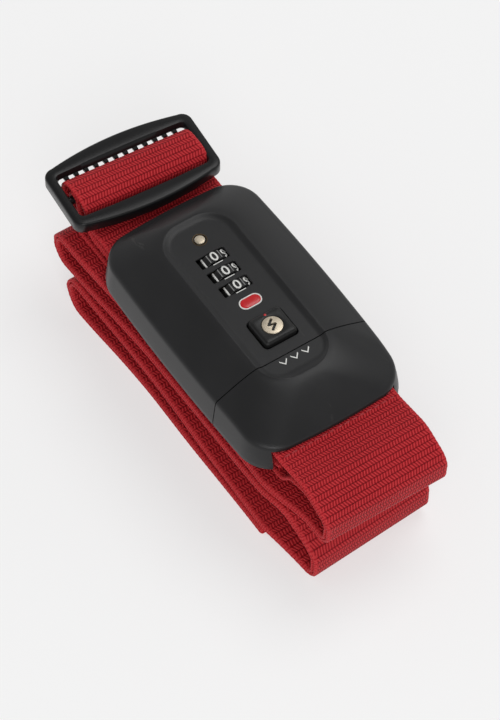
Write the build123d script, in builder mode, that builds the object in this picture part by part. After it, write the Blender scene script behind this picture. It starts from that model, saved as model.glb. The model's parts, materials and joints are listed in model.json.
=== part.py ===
"""Luggage strap: folded webbing with a combination-lock buckle on top and a slider at one end."""
from build123d import *
import math
import os

os.makedirs("parts", exist_ok=True)

# Frame, in millimetres: +X from the slider to the tongue, +Y across the strap, +Z up.
# z = 0 is the surface that the folded strap lies on.

# --- buckle, measured from the seam between lock body and tongue ---
SEAM_X = 26.25
SEAM_GAP = 0.4
BODY_X0 = SEAM_X - 80.5
TONGUE_X1 = SEAM_X + 30.0
MIDDLE_X = (BODY_X0 + TONGUE_X1) / 2
HALF_WIDTH = 33.0
END_HALF_WIDTH = 31.4
END_BOW = 2.0
CORNER_RADIUS = 14.0
CASE_Z = 40.0
PLATE = 1.7
COVER_Z = CASE_Z + PLATE
RIM_Z = 49.0
CREST_Z = 59.4
CREASE_Z = 52.6
WALL = 1.8
TRAVEL_GAP = 0.3

# --- recessed control panel ---
PANEL_Z = 58.7
PANEL_HALF_WIDTH = 11.75
PANEL_X0 = SEAM_X - 64.5
PANEL_CORNER = 8.0
PANEL_THINNING = 1.2

# --- dials ---
DIAL_RADIUS = 7.5
DIAL_WIDTH = 4.2
DIAL_PITCH = 7.3
DIAL_X = [SEAM_X - 48.6 + DIAL_PITCH * i for i in range(3)]
DIAL_Z = 52.0
WINDOW_LENGTH = 10.6
WINDOW_Y = -0.75            # the windows sit a little to one side of the dials
WINDOW_WIDTH = 4.8
SHAFT_RADIUS = 1.2
SLEEVE_RADIUS = 3.0
SLEEVE_LENGTH = 6.6
FIT = 0.05
DIGITS = 10

# --- reset pin, badge, button and key ---
PIN_X = SEAM_X - 57.7
PIN_RADIUS = 1.8
BADGE_X = SEAM_X - 25.5
BADGE_LENGTH = 8.8
BADGE_WIDTH = 5.0
BUTTON_X = SEAM_X - 11.7
BUTTON_LENGTH = 12.5
BUTTON_WIDTH = 13.3
BUTTON_TOP_Z = 60.7
BUTTON_TRAVEL = 2.0
FLANGE_Z = 54.6
FLANGE_THICKNESS = 1.3
KEY_RADIUS = 3.85

# --- latch ---
BLADE_Z = 46.0
BLADE_THICKNESS = 1.5
BLADE_HALF_WIDTH = 12.0
BLADE_X0 = SEAM_X - 20.5
BLADE_X1 = SEAM_X + 12.0
CATCH_Z = 44.4
LEG_INNER_Y = 13.0
LEG_OUTER_Y = 15.0
GUIDE_Z = BLADE_Z + BLADE_THICKNESS + 0.5

# --- strap bars, posts and slider ---
STRAP_WIDTH = 50.0
OPENING_HALF = 25.6
BAR_RADIUS = 1.5
BAR_INSET = 8.0
FAR_BAR_X = BODY_X0 + BAR_INSET
FAR_BAR_Z = 43.6
TONGUE_BAR_X = TONGUE_X1 - BAR_INSET
TONGUE_BAR_Z = 45.4
POST_LENGTH = 13.0
POST_INSET = 1.2
SLIDER_X = -71.45
SLIDER_Z = 52.2
SLIDER_THICKNESS = 5.0
SLIDER_LENGTH = 60.0
SLIDER_WIDTH = 29.0
SLIDER_BAR_Z = 51.6
SLIDER_BAR_RADIUS = 1.6
SLOT_LENGTH = 51.0
SLOT_SPAN = 19.4
TEETH = 12
TOOTH_PITCH = 4.0

# --- webbing ---
STRAP_THICKNESS = 1.4
PLY_OFFSET = 0.8          # half the distance between the two strands of a doubled layer
UNDER_CASE_Z = 38.9       # the single layer that runs under the buckle
TIP_X = 85.25
WRAP_RADIUS = BAR_RADIUS + 0.1 + STRAP_THICKNESS / 2


def outline_face(x_low, x_high, inset=0.0):
    """The buckle's plan outline between two x values, as a sketch."""
    with BuildSketch() as outline:
        with BuildLine():
            ThreePointArc((BODY_X0 + END_BOW, -END_HALF_WIDTH), (MIDDLE_X, -HALF_WIDTH),
                          (TONGUE_X1 - END_BOW, -END_HALF_WIDTH))
            ThreePointArc((TONGUE_X1 - END_BOW, -END_HALF_WIDTH), (TONGUE_X1, 0),
                          (TONGUE_X1 - END_BOW, END_HALF_WIDTH))
            ThreePointArc((TONGUE_X1 - END_BOW, END_HALF_WIDTH), (MIDDLE_X, HALF_WIDTH),
                          (BODY_X0 + END_BOW, END_HALF_WIDTH))
            ThreePointArc((BODY_X0 + END_BOW, END_HALF_WIDTH), (BODY_X0, 0),
                          (BODY_X0 + END_BOW, -END_HALF_WIDTH))
        make_face()
        fillet(vertices(), radius=CORNER_RADIUS)
        if inset > 0:
            offset(amount=-inset, mode=Mode.REPLACE)
        with Locations(((x_low + x_high) / 2, 0)):
            Rectangle(x_high - x_low, 3 * HALF_WIDTH, mode=Mode.INTERSECT)
    return outline.sketch


def hipped_block(x_low, x_high, z_low, inset, drop):
    """A solid with the buckle's plan outline and its roof, which falls to the sides and both ends."""
    crest_y = PANEL_HALF_WIDTH + 0.75
    slope = (CREST_Z - CREASE_Z) / (HALF_WIDTH - crest_y)
    reach = HALF_WIDTH + 5
    crest = CREST_Z - drop
    low_side = crest - slope * (reach - crest_y)
    end_run = 15.0
    end_over = 6.0
    end_slope = (CREST_Z - CREASE_Z) / end_run
    tongue_slope = (CREST_Z - RIM_Z - 1.2) / (end_run + 2)
    with BuildPart() as block:
        with BuildSketch(Plane.XY.offset(z_low)):
            add(outline_face(x_low, x_high, inset))
        extrude(amount=CREST_Z - z_low + 1)
        with BuildSketch(Plane.YZ):
            with BuildLine():
                Polyline((-reach, z_low - 1), (reach, z_low - 1), (reach, low_side), (crest_y, crest),
                         (-crest_y, crest), (-reach, low_side), close=True)
            make_face()
        extrude(amount=2 * SLIDER_LENGTH, both=True, mode=Mode.INTERSECT)
        with BuildSketch(Plane.XZ):
            with BuildLine():
                Polyline((BODY_X0 - end_over, z_low - 1), (TONGUE_X1 + end_over, z_low - 1),
                         (TONGUE_X1 + end_over, crest - tongue_slope * (end_run + 2 + end_over)),
                         (TONGUE_X1 - end_run - 2, crest), (BODY_X0 + end_run, crest),
                         (BODY_X0 - end_over, crest - end_slope * (end_run + end_over)), close=True)
            make_face()
        extrude(amount=2 * HALF_WIDTH, both=True, mode=Mode.INTERSECT)
    return block.part


def box_between(x, y, z, mode=Mode.ADD):
    """A box from three (low, high) pairs, in the open part."""
    middle = [sum(pair) / 2 for pair in (x, y, z)]
    with Locations(tuple(middle)):
        Box(x[1] - x[0], y[1] - y[0], z[1] - z[0], mode=mode)


def cylinder_along(axis, radius, centre, length, mode=Mode.ADD):
    """A cylinder centred on a point, along "x", "y" or "z", in the open part."""
    turn = {"x": (0, 90, 0), "y": (90, 0, 0), "z": (0, 0, 0)}[axis]
    with Locations(centre):
        Cylinder(radius, length, rotation=turn, mode=mode)


def save(part, label):
    """Label a finished piece and write it."""
    part.part.label = label
    export_step(part.part, f"parts/{label}.step")


# ---------------------------------------------------------------- casings

SCREW_POINTS = [(BODY_X0 + 19, 23.5), (SEAM_X - 7, 23.5), (BODY_X0 + 19, -23.5), (SEAM_X - 7, -23.5)]
TONGUE_SCREW_POINTS = [(SEAM_X + 9, 23.5), (SEAM_X + 9, -23.5)]
SCREW_RADIUS = 1.0
SCREW_HEAD_RADIUS = 2.0
BOSS_RADIUS = 2.6
BOSS_TOP_Z = 54.5
SCREW_TOP_Z = 48.0
BODY_END = SEAM_X - SEAM_GAP / 2
TONGUE_START = SEAM_X + SEAM_GAP / 2

lock_block = hipped_block(BODY_X0 - 1, BODY_END, COVER_Z, 0, 0)
lock_cavity = hipped_block(BODY_X0, BODY_END - WALL, COVER_Z - 1, WALL, WALL)
tongue_block = hipped_block(TONGUE_START, TONGUE_X1 + 1, COVER_Z, 0, 0)
tongue_cavity = hipped_block(TONGUE_START + WALL, TONGUE_X1, COVER_Z - 1, WALL, WALL)


def add_bosses(points):
    """Screw bosses that hang from the roof, with their pilot holes."""
    for x, y in points:
        cylinder_along("z", BOSS_RADIUS, (x, y, (COVER_Z + BOSS_TOP_Z) / 2), BOSS_TOP_Z - COVER_Z)
    for x, y in points:
        cylinder_along("z", SCREW_RADIUS + FIT, (x, y, COVER_Z + 3), 9, mode=Mode.SUBTRACT)


with BuildPart() as lock_top_cover:
    add(lock_block)
    add(lock_cavity, mode=Mode.SUBTRACT)
    add_bosses(SCREW_POINTS)
    # control panel, sunk below the crest and open at the seam
    with BuildSketch(Plane.XY.offset(PANEL_Z)):
        with Locations(((PANEL_X0 + SEAM_X + PANEL_CORNER) / 2, 0)):
            RectangleRounded(SEAM_X + PANEL_CORNER - PANEL_X0, 2 * PANEL_HALF_WIDTH, PANEL_CORNER)
    extrude(amount=3, mode=Mode.SUBTRACT)
    # the roof is thinner over the dials
    box_between((DIAL_X[0] - 5, DIAL_X[2] + 4.5), (-9, 9), (PANEL_Z - 4, PANEL_Z - PANEL_THINNING),
                mode=Mode.SUBTRACT)
    for x in DIAL_X:
        box_between((x - WINDOW_WIDTH / 2, x + WINDOW_WIDTH / 2),
                    (WINDOW_Y - WINDOW_LENGTH / 2, WINDOW_Y + WINDOW_LENGTH / 2),
                    (PANEL_Z - 3, PANEL_Z + 1), mode=Mode.SUBTRACT)
        cylinder_along("x", DIAL_RADIUS + TRAVEL_GAP, (x, 0, DIAL_Z), WINDOW_WIDTH, mode=Mode.SUBTRACT)
    # button hole, reset pin hole and its counterbore, badge pocket
    with BuildSketch(Plane.XY.offset(PANEL_Z - 4)):
        with Locations((BUTTON_X, 0)):
            RectangleRounded(BUTTON_LENGTH + 0.6, BUTTON_WIDTH + 0.6, 2.3)
    extrude(amount=6, mode=Mode.SUBTRACT)
    cylinder_along("z", PIN_RADIUS + 0.1, (PIN_X, 0, PANEL_Z), 10, mode=Mode.SUBTRACT)
    cylinder_along("z", PIN_RADIUS + 0.7, (PIN_X, 0, PANEL_Z + 0.4), 2, mode=Mode.SUBTRACT)
    with BuildSketch(Plane.XY.offset(PANEL_Z - 0.3)):
        with Locations((BADGE_X, 0)):
            SlotOverall(BADGE_LENGTH + 0.1, BADGE_WIDTH + 0.1, rotation=90)
    extrude(amount=2, mode=Mode.SUBTRACT)
    # mouth for the blade, and the strap opening at the far end
    box_between((BODY_END - 3, BODY_END + 1), (-BLADE_HALF_WIDTH - 0.5, BLADE_HALF_WIDTH + 0.5),
                (BLADE_Z - 0.4, BLADE_Z + BLADE_THICKNESS + 0.4), mode=Mode.SUBTRACT)
    box_between((BODY_X0 - 2, BODY_X0 + POST_LENGTH), (-40, 40), (COVER_Z - 1, RIM_Z), mode=Mode.SUBTRACT)
save(lock_top_cover, "lock_top_cover")

with BuildPart() as tongue_cover:
    add(tongue_block)
    add(tongue_cavity, mode=Mode.SUBTRACT)
    add_bosses(TONGUE_SCREW_POINTS)
    # the panel runs on over the seam and ends in a round scoop
    with BuildSketch(Plane.XY.offset(PANEL_Z)):
        with Locations((SEAM_X, 0)):
            RectangleRounded(14.0, 2 * PANEL_HALF_WIDTH, 5.5)
    extrude(amount=3, mode=Mode.SUBTRACT)
    box_between((TONGUE_START - 1, TONGUE_START + 3), (-BLADE_HALF_WIDTH - 0.1, BLADE_HALF_WIDTH + 0.1),
                (BLADE_Z, BLADE_Z + BLADE_THICKNESS + 0.1), mode=Mode.SUBTRACT)
    box_between((TONGUE_X1 - POST_LENGTH, TONGUE_X1 + 2), (-40, 40), (COVER_Z - 1, RIM_Z),
                mode=Mode.SUBTRACT)
save(tongue_cover, "tongue_cover")


def bottom_tray(x_low, x_high, open_low, open_high, bar_x, bar_z, points):
    """A bottom plate with two posts beside the strap opening, bored for the bar and the screws."""
    with BuildPart() as tray:
        with BuildSketch(Plane.XY.offset(CASE_Z)):
            add(outline_face(x_low, x_high))
        extrude(amount=PLATE)
        with BuildSketch(Plane.XY.offset(CASE_Z)):
            add(outline_face(open_low, open_high, inset=POST_INSET))
        extrude(amount=RIM_Z - CASE_Z - 0.1)
        box_between((open_low, open_high), (-OPENING_HALF, OPENING_HALF), (CASE_Z - 1, RIM_Z + 1),
                    mode=Mode.SUBTRACT)
        cylinder_along("y", BAR_RADIUS + FIT, (bar_x, 0, bar_z), 2 * OPENING_HALF + 3.6, mode=Mode.SUBTRACT)
        for x, y in points:
            cylinder_along("z", SCREW_RADIUS + 0.2, (x, y, CASE_Z), 6, mode=Mode.SUBTRACT)
            cylinder_along("z", SCREW_HEAD_RADIUS + 0.2, (x, y, CASE_Z - 0.3), 2, mode=Mode.SUBTRACT)
    return tray.part


DIAL_POST_X = (DIAL_X[0] - 5.8, DIAL_X[2] + 5.8)
PIN_POST_TOP = 49.5
COMB_Z = 55.7
COMB_POST_X = DIAL_X[0] - 5
DETENT_Y = -11.0
DETENT_TOP_Z = DIAL_Z - DIAL_RADIUS - TRAVEL_GAP
CATCH_X0 = BLADE_X0 - 5
GUIDE_X = (BLADE_X0 - 0.5, BODY_END - 2.2)

lock_tray = bottom_tray(BODY_X0 - 1, BODY_END, BODY_X0 - 1, BODY_X0 + POST_LENGTH, FAR_BAR_X, FAR_BAR_Z,
                        SCREW_POINTS)
tongue_tray = bottom_tray(TONGUE_START, TONGUE_X1 + 1, TONGUE_X1 - POST_LENGTH, TONGUE_X1 + 1, TONGUE_BAR_X,
                          TONGUE_BAR_Z, TONGUE_SCREW_POINTS)

with BuildPart() as lock_base:
    add(lock_tray)
    # bearing posts of the dial shaft
    for x in DIAL_POST_X:
        box_between((x - 0.75, x + 0.75), (-3.5, 3.5), (COVER_Z, DIAL_Z + 2.6))
    cylinder_along("x", SHAFT_RADIUS + 0.02, (sum(DIAL_POST_X) / 2, 0, DIAL_Z),
                   DIAL_POST_X[1] - DIAL_POST_X[0] + 4, mode=Mode.SUBTRACT)
    # seats for the reset pin, the lock comb, the detent spring and the catch
    cylinder_along("z", 2.4, (PIN_X - 0.4, 0, (COVER_Z + PIN_POST_TOP) / 2), PIN_POST_TOP - COVER_Z)
    cylinder_along("z", 1.3, (PIN_X, 0, PIN_POST_TOP), 10, mode=Mode.SUBTRACT)
    box_between((COMB_POST_X - 1.5, COMB_POST_X + 1.5), (8.6, 11.4), (COVER_Z, COMB_Z))
    box_between((DIAL_X[0] - 2, DIAL_X[2] + 2), (DETENT_Y - 1.5, DETENT_Y + 1.5),
                (COVER_Z, DETENT_TOP_Z - 0.6))
    box_between((CATCH_X0, CATCH_X0 + 4), (-7, 7), (COVER_Z, CATCH_Z))
save(lock_base, "lock_base")

with BuildPart() as tongue_base:
    add(tongue_tray)
    # pad under the blade's root
    box_between((TONGUE_START + 2, BLADE_X1), (-BLADE_HALF_WIDTH, BLADE_HALF_WIDTH), (COVER_Z, BLADE_Z))
    for y in (-7, 7):
        cylinder_along("z", 1.0, (BLADE_X1 - 4, y, BLADE_Z - 1), 4, mode=Mode.SUBTRACT)
save(tongue_base, "tongue_base")


def add_screws(points):
    """Pan-head screws that come up through the bottom plate."""
    for x, y in points:
        cylinder_along("z", SCREW_RADIUS, (x, y, (CASE_Z + 0.4 + SCREW_TOP_Z) / 2), SCREW_TOP_Z - CASE_Z - 0.4)
        cylinder_along("z", SCREW_HEAD_RADIUS, (x, y, CASE_Z + 0.35), 0.7)
        cylinder_along("y", 0.25, (x, y, CASE_Z), 2.6, mode=Mode.SUBTRACT)
        cylinder_along("x", 0.25, (x, y, CASE_Z), 2.6, mode=Mode.SUBTRACT)


with BuildPart() as lock_screws:
    add_screws(SCREW_POINTS)
save(lock_screws, "lock_screws")

with BuildPart() as tongue_screws:
    add_screws(TONGUE_SCREW_POINTS)
save(tongue_screws, "tongue_screws")

with BuildPart() as far_strap_bar:
    cylinder_along("y", BAR_RADIUS, (FAR_BAR_X, 0, FAR_BAR_Z), 2 * OPENING_HALF + 3.4)
save(far_strap_bar, "far_strap_bar")

with BuildPart() as tongue_strap_bar:
    cylinder_along("y", BAR_RADIUS, (TONGUE_BAR_X, 0, TONGUE_BAR_Z), 2 * OPENING_HALF + 3.4)
save(tongue_strap_bar, "tongue_strap_bar")

# ---------------------------------------------------------------- combination dials

with BuildPart() as dial_shaft:
    cylinder_along("x", SHAFT_RADIUS, (sum(DIAL_POST_X) / 2, 0, DIAL_Z), DIAL_POST_X[1] - DIAL_POST_X[0] + 1.5)
save(dial_shaft, "dial_shaft")

for index, x in enumerate(DIAL_X, start=1):
    with BuildPart() as dial_wheel:
        with BuildSketch(Plane.YZ.offset(x - DIAL_WIDTH / 2)):
            with Locations((0, DIAL_Z)):
                Circle(DIAL_RADIUS)
                Circle(SLEEVE_RADIUS + FIT / 2, mode=Mode.SUBTRACT)
                # finger grooves between the ten digits
                with PolarLocations(DIAL_RADIUS + 0.25, DIGITS, start_angle=90 + 180 / DIGITS):
                    Circle(0.5, mode=Mode.SUBTRACT)
        extrude(amount=DIAL_WIDTH)
    save(dial_wheel, f"dial_wheel_{index}")

    with BuildPart() as clutch_sleeve:
        with BuildSketch(Plane.YZ.offset(x - DIAL_WIDTH / 2)):
            with Locations((0, DIAL_Z)):
                Circle(SLEEVE_RADIUS)
                Circle(SHAFT_RADIUS + FIT, mode=Mode.SUBTRACT)
        extrude(amount=SLEEVE_LENGTH)
        # gate that the comb's finger drops into when the dial stands at its number
        box_between((x + DIAL_WIDTH / 2, x + SLEEVE_LENGTH), (-1.2, 1.2),
                    (DIAL_Z + SLEEVE_RADIUS - 1.2, DIAL_Z + SLEEVE_RADIUS + 1), mode=Mode.SUBTRACT)
    save(clutch_sleeve, f"clutch_sleeve_{index}")

with BuildPart() as dial_detent_spring:
    box_between((DIAL_X[0] - 2, DIAL_X[2] + 2), (DETENT_Y - 1.5, DETENT_Y + 1.5),
                (DETENT_TOP_Z - 0.6, DETENT_TOP_Z))
    for x in DIAL_X:
        box_between((x - 1.2, x + 1.2), (DETENT_Y, 1.5), (DETENT_TOP_Z - 0.4, DETENT_TOP_Z))
save(dial_detent_spring, "dial_detent_spring")

with BuildPart() as lock_comb:
    box_between((COMB_POST_X - 1.5, BUTTON_X - BUTTON_LENGTH / 2 - 1.5), (8.6, 11.0), (COMB_Z, COMB_Z + 0.5))
    for x in DIAL_X:
        finger = x + DIAL_PITCH / 2
        box_between((finger - 0.7, finger + 0.7), (-0.8, 8.6), (COMB_Z, COMB_Z + 0.5))
        box_between((finger - 0.7, finger + 0.7), (-0.8, 0.8), (COMB_Z - 0.3, COMB_Z))
save(lock_comb, "lock_comb")

# ---------------------------------------------------------------- reset pin and badge


def coil_spring(x, y, z_low, z_high, radius, wire, turns):
    """A coil spring along Z."""
    height = z_high - z_low - wire
    with BuildPart() as spring:
        with BuildLine() as coil:
            Helix(height / turns, height, radius, center=(x, y, z_low + wire / 2))
        with BuildSketch(Plane(coil.line @ 0, z_dir=coil.line % 0)):
            Circle(wire / 2)
        sweep(path=coil.line, is_frenet=True)
    return spring.part


with BuildPart() as reset_pin:
    cylinder_along("z", PIN_RADIUS, (PIN_X, 0, (PANEL_Z + 0.2 + 55.5) / 2), PANEL_Z + 0.2 - 55.5)
    cylinder_along("z", PIN_RADIUS + 0.5, (PIN_X, 0, 55.5), 0.9)
    cylinder_along("z", 1.2, (PIN_X, 0, (46.6 + 55.5) / 2), 55.5 - 46.6)
save(reset_pin, "reset_pin")

pin_coil = coil_spring(PIN_X, 0, PIN_POST_TOP + 0.05, 55.0, 1.65, 0.4, 5)
with BuildPart() as reset_spring:
    add(pin_coil)
save(reset_spring, "reset_spring")

with BuildPart() as badge_inlay:
    with BuildSketch(Plane.XY.offset(PANEL_Z - 0.3)):
        with Locations((BADGE_X, 0)):
            SlotOverall(BADGE_LENGTH, BADGE_WIDTH, rotation=90)
    extrude(amount=0.6)
save(badge_inlay, "badge_inlay")

# ---------------------------------------------------------------- release button and key

FLANGE_TOP = FLANGE_Z + FLANGE_THICKNESS

with BuildPart() as release_button:
    with BuildSketch(Plane.XY.offset(FLANGE_TOP)):
        with Locations((BUTTON_X, 0)):
            RectangleRounded(BUTTON_LENGTH, BUTTON_WIDTH, 2.0)
    extrude(amount=BUTTON_TOP_Z - FLANGE_TOP)
    fillet(faces().sort_by(Axis.Z)[-1].edges(), radius=0.6)
    cylinder_along("z", KEY_RADIUS + FIT, (BUTTON_X, 0, BUTTON_TOP_Z - 3), 10, mode=Mode.SUBTRACT)
save(release_button, "release_button")

with BuildPart() as latch_frame:
    box_between((BUTTON_X - 7.4, BUTTON_X + 7.4), (-LEG_OUTER_Y, LEG_OUTER_Y), (FLANGE_Z, FLANGE_TOP))
    for side in (-1, 1):
        leg_y = sorted((side * LEG_INNER_Y, side * LEG_OUTER_Y))
        box_between((BUTTON_X - 3, BUTTON_X + 3), leg_y, (CATCH_Z + 0.6 + TRAVEL_GAP, FLANGE_Z + 0.1))
    cylinder_along("z", KEY_RADIUS + FIT, (BUTTON_X, 0, FLANGE_Z), 6, mode=Mode.SUBTRACT)
save(latch_frame, "latch_frame")

with BuildPart() as key_plug:
    cylinder_along("z", KEY_RADIUS, (BUTTON_X, 0, (FLANGE_Z - 0.4 + BUTTON_TOP_Z + 0.1) / 2),
                   BUTTON_TOP_Z + 0.5 - FLANGE_Z)
    # zigzag keyway
    with BuildSketch(Plane.XY.offset(BUTTON_TOP_Z - 4.5)):
        for x, y in ((-1.3, 0.55), (0, 0), (1.3, -0.55)):
            with Locations((BUTTON_X + x, y)):
                Rectangle(1.7, 1.1)
    extrude(amount=6, mode=Mode.SUBTRACT)
save(key_plug, "key_plug")

with BuildPart() as key_cam:
    cylinder_along("z", 3.0, (BUTTON_X, 0, FLANGE_Z - 1.1), 1.4)
    box_between((BUTTON_X - 6.0, BUTTON_X), (-1.5, 1.5), (FLANGE_Z - 1.8, FLANGE_Z - 0.4))
save(key_cam, "key_cam")

button_coils = [coil_spring(BUTTON_X, y, GUIDE_Z + 1.45, FLANGE_Z - 0.05, 1.8, 0.45, 4) for y in (-10.0, 10.0)]
with BuildPart() as button_springs:
    for coil in button_coils:
        add(coil)
save(button_springs, "button_springs")

# ---------------------------------------------------------------- latch: guide, catch and blade

WINDOW_X = (BUTTON_X - 2.5, BUTTON_X + 2.5)

with BuildPart() as blade_guide:
    box_between(GUIDE_X, (-BLADE_HALF_WIDTH - 0.6, BLADE_HALF_WIDTH + 0.6), (GUIDE_Z, GUIDE_Z + 1.4))
    for side in (-1, 1):
        foot_y = sorted((side * (BLADE_HALF_WIDTH + 0.4), side * LEG_OUTER_Y))
        box_between((GUIDE_X[0], GUIDE_X[0] + 2.7), foot_y, (COVER_Z, GUIDE_Z + 1.4))
        box_between((GUIDE_X[1] - 4.0, GUIDE_X[1]), foot_y, (COVER_Z, GUIDE_Z + 1.4))
save(blade_guide, "blade_guide")

with BuildPart() as latch_catch:
    box_between((CATCH_X0, WINDOW_X[1] + 1), (-7, 7), (CATCH_Z, CATCH_Z + 0.6))
    box_between((BUTTON_X - 2.5, BUTTON_X + 2.5), (-LEG_OUTER_Y, LEG_OUTER_Y), (CATCH_Z, CATCH_Z + 0.6))
    # tooth with a sloped nose, which the blade rides over when the tongue is pushed in
    with BuildSketch(Plane.XZ):
        with BuildLine():
            Polyline((WINDOW_X[0] + 0.4, CATCH_Z + 0.5), (WINDOW_X[1] - 0.4, CATCH_Z + 0.5),
                     (WINDOW_X[0] + 1.6, BLADE_Z + 1.3), (WINDOW_X[0] + 0.4, BLADE_Z + 1.3), close=True)
        make_face()
    extrude(amount=5, both=True)
save(latch_catch, "latch_catch")

with BuildPart() as tongue_blade:
    with BuildSketch(Plane.XY.offset(BLADE_Z)):
        with Locations(((BLADE_X0 + BLADE_X1) / 2, 0)):
            RectangleRounded(BLADE_X1 - BLADE_X0, 2 * BLADE_HALF_WIDTH, 2.0)
        with Locations((BUTTON_X, 0)):
            RectangleRounded(WINDOW_X[1] - WINDOW_X[0], 13, 0.8, mode=Mode.SUBTRACT)
        with Locations((BLADE_X1 - 4, -7), (BLADE_X1 - 4, 7)):
            Circle(1.0, mode=Mode.SUBTRACT)
    extrude(amount=BLADE_THICKNESS)
save(tongue_blade, "tongue_blade")

with BuildPart() as blade_rivets:
    for y in (-7, 7):
        cylinder_along("z", 1.0 - FIT / 2, (BLADE_X1 - 4, y, BLADE_Z + BLADE_THICKNESS / 2), BLADE_THICKNESS + 1.2)
        cylinder_along("z", 1.9, (BLADE_X1 - 4, y, BLADE_Z + BLADE_THICKNESS + 0.35), 0.7)
save(blade_rivets, "blade_rivets")

# ---------------------------------------------------------------- slider

SLIDER_LOW_Z = SLIDER_Z - SLIDER_THICKNESS / 2

with BuildPart() as slider_frame:
    with BuildSketch(Plane.XY.offset(SLIDER_LOW_Z)):
        with BuildLine():
            half_x = SLIDER_WIDTH / 2
            half_y = SLIDER_LENGTH / 2
            ends = half_x - 1.2
            ThreePointArc((SLIDER_X + ends, -half_y), (SLIDER_X + half_x, 0), (SLIDER_X + ends, half_y))
            Line((SLIDER_X + ends, half_y), (SLIDER_X - ends, half_y))
            ThreePointArc((SLIDER_X - ends, half_y), (SLIDER_X - half_x, 0), (SLIDER_X - ends, -half_y))
            Line((SLIDER_X - ends, -half_y), (SLIDER_X + ends, -half_y))
        make_face()
        fillet(vertices(), radius=4.0)
        with Locations((SLIDER_X, 0)):
            Rectangle(SLOT_SPAN, SLOT_LENGTH, mode=Mode.SUBTRACT)
    extrude(amount=SLIDER_THICKNESS)
    outer_rim = [e for e in edges() if abs(e.center().Y) > SLOT_LENGTH / 2 + 1
                 or abs(e.center().X - SLIDER_X) > SLOT_SPAN / 2 + 1]
    fillet([e for e in outer_rim if abs(e.tangent_at(0.5).Z) < 0.1], radius=1.2)
    # centre bar, round so that the frame can tip about it
    cylinder_along("y", SLIDER_BAR_RADIUS, (SLIDER_X, 0, SLIDER_BAR_Z), SLOT_LENGTH + 1)
    # teeth along the far slot
    for i in range(TEETH):
        y = (i - (TEETH - 1) / 2) * TOOTH_PITCH
        box_between((SLIDER_X - SLOT_SPAN / 2 - 0.5, SLIDER_X - SLOT_SPAN / 2 + 1.5), (y - 1.0, y + 1.0),
                    (SLIDER_Z - 1.2, SLIDER_Z + 1.2))
save(slider_frame, "slider_frame")

# ---------------------------------------------------------------- webbing

# Each corner of a strap's side view is (x, z, bend radius); the two ends have no radius.


def shifted(path, distance):
    """The corners of a line that runs beside a path, on its left if distance is positive."""
    result = []
    for i, (x, z, radius) in enumerate(path):
        before = path[i - 1] if i > 0 else None
        after = path[i + 1] if i < len(path) - 1 else None
        angles = []
        if before:
            angles.append(math.atan2(z - before[1], x - before[0]))
        if after:
            angles.append(math.atan2(after[1] - z, after[0] - x))
        turn = math.remainder(angles[-1] - angles[0], 2 * math.pi)
        middle = angles[0] + turn / 2
        reach = distance / math.cos(turn / 2)
        place = (x - reach * math.sin(middle), z + reach * math.cos(middle))
        result.append((*place, radius - distance * math.copysign(1, turn) if radius else 0))
    return result


def strap_face(path):
    """A strap's side view, one thickness wide, as a sketch."""
    left = shifted(path, STRAP_THICKNESS / 2)
    right = shifted(path, -STRAP_THICKNESS / 2)
    with BuildSketch() as face:
        with BuildLine():
            for side in (left, right):
                FilletPolyline(*[(x, z) for x, z, _ in side], radius=[r for _, _, r in side[1:-1]])
            Line(left[0][:2], right[0][:2])
            Line(left[-1][:2], right[-1][:2])
        make_face()
    return face.sketch


# Doubled part of the strap, layer by layer from the top down to the mid fold on the ground.
MID_FOLD_X = 51.95
doubled = [
    (TIP_X - PLY_OFFSET, 32.0, 0),
    (-77.75, 34.6, 6.2),
    (-77.75, 21.4, 6.2),
    (60.75, 27.6, 14.0),
    (74.4, 16.0, 12.0),
    (74.2, 3.6, 3.6),
    (-69.85, 16.6, 6.2),
    (-69.85, 1.5, 6.5),
    (MID_FOLD_X, 1.5, 0),
]
strand_a = shifted(doubled, PLY_OFFSET)
strand_b = shifted(doubled, -PLY_OFFSET)
fold_radius = PLY_OFFSET - 0.01

strap_path = [(TIP_X, 40.05, 0), (TIP_X, strand_a[0][1], 5.2)]
strap_path += strand_a[1:-1]
strap_path += [(MID_FOLD_X, strand_a[-1][1], fold_radius), (MID_FOLD_X, strand_b[-1][1], fold_radius)]
strap_path += strand_b[-2:0:-1]
# inner turn at the right, the run under the buckle, and the way through the slider
FAR_WRAP_X = FAR_BAR_X + WRAP_RADIUS
wrap_bend = WRAP_RADIUS - 0.05
strap_path += [
    (TIP_X - 1.75, strand_b[0][1], 3.2),
    (TIP_X - 1.75, UNDER_CASE_Z, 2.8),
    (SLIDER_X - 6.4, UNDER_CASE_Z, 4.0),
    (SLIDER_X - 6.4, 55.6, 5.5),
    (SLIDER_X + 7.6, 55.6, 5.5),
    (SLIDER_X + 7.6, FAR_BAR_Z + WRAP_RADIUS, 3.5),
    (FAR_WRAP_X, FAR_BAR_Z + WRAP_RADIUS, wrap_bend),
    (FAR_WRAP_X, FAR_BAR_Z - WRAP_RADIUS, wrap_bend),
    (-62.45, FAR_BAR_Z - WRAP_RADIUS, 6.0),
    (SLIDER_X - 2.4, 48.4, 2.3),
    (SLIDER_X - 2.4, 54.0, 2.3),
    (SLIDER_X + 2.4, 54.0, 2.3),
    (SLIDER_X + 2.4, 47.3, 3.0),
    (-61.95, 42.9, 3.0),
    (-51.25, 42.9, 0),
]

with BuildPart() as webbing_strap:
    with BuildSketch(Plane.XZ):
        add(strap_face(strap_path))
    extrude(amount=STRAP_WIDTH / 2, both=True)
save(webbing_strap, "webbing_strap")

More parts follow.
